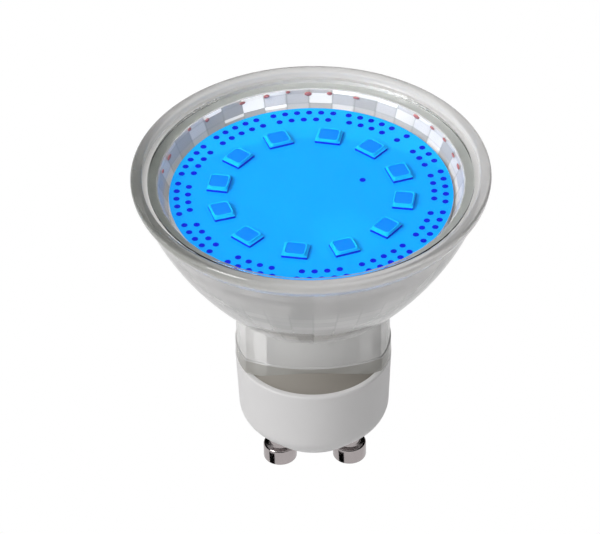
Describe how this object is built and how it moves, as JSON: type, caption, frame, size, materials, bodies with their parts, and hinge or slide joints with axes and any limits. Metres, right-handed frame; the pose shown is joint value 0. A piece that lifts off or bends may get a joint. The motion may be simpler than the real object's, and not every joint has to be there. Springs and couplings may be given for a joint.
{
  "type": "led spotlight bulb",
  "caption": "LED spotlight bulb: faceted clear glass reflector cup with lipped rim, blue LED board under a flat cover glass, oblong glass neck, white twist-lock base and headed contact pins.",
  "frame": {"origin": "on the lamp's axis, at the height of the contact pins' lower ends", "axes": "+Z along the lamp's axis towards the cover glass, the way the light goes; the contact pins stand along X"},
  "size_m": [0.05, 0.05, 0.0516],
  "materials": {
    "clear_glass": "clear pressed glass with a slight grey-green body",
    "cover_glass": "clear flat glass",
    "seal_adhesive": "clear cured adhesive bead",
    "blue_solder_mask": "saturated blue glossy solder mask",
    "led_housing": "moulded package tinted by the blue board",
    "led_gel": "blue silicone gel",
    "white_carrier": "white moulded plastic",
    "sleeve_film": "grey-beige insulating film",
    "base_cement": "grey-beige cement",
    "white_base": "satin white moulded base",
    "plated_pin": "polished nickel plate",
    "driver_laminate": "green laminate",
    "capacitor_can": "dark sleeved can",
    "red_film": "dipped film capacitor",
    "black_epoxy": "black epoxy",
    "ferrite": "dark ferrite",
    "grey_resistor": "coated resistor body",
    "wire_sheath": "white silicone sheath"
  },
  "bodies": {
    "root": {"base_cement": "base_cement", "base_cup": "white_base", "board_wire_left": "wire_sheath", "board_wire_right": "wire_sheath", "bridge_rectifier": "black_epoxy", "chip_resistor_1": "black_epoxy", "chip_resistor_2": "black_epoxy", "choke": "ferrite", "contact_pin_left": "plated_pin", "contact_pin_right": "plated_pin", "cover_glass": "cover_glass", "cover_seal": "seal_adhesive", "driver_board": "driver_laminate", "driver_chip": "black_epoxy", "electrolytic_capacitor": "capacitor_can", "film_capacitor": "red_film", "fusible_resistor": "grey_resistor", "glass_cup": "clear_glass", "insulating_sleeve": "sleeve_film", "led_01": "led_housing", "led_02": "led_housing", "led_03": "led_housing", "led_04": "led_housing", "led_05": "led_housing", "led_06": "led_housing", "led_07": "led_housing", "led_08": "led_housing", "led_09": "led_housing", "led_10": "led_housing", "led_11": "led_housing", "led_12": "led_housing", "led_board": "blue_solder_mask", "led_gel_01": "led_gel", "led_gel_02": "led_gel", "led_gel_03": "led_gel", "led_gel_04": "led_gel", "led_gel_05": "led_gel", "led_gel_06": "led_gel", "led_gel_07": "led_gel", "led_gel_08": "led_gel", "led_gel_09": "led_gel", "led_gel_10": "led_gel", "led_gel_11": "led_gel", "led_gel_12": "led_gel", "neck_carrier": "white_carrier", "pin_wire_left": "wire_sheath", "pin_wire_right": "wire_sheath"}
  },
  "joints": []
}
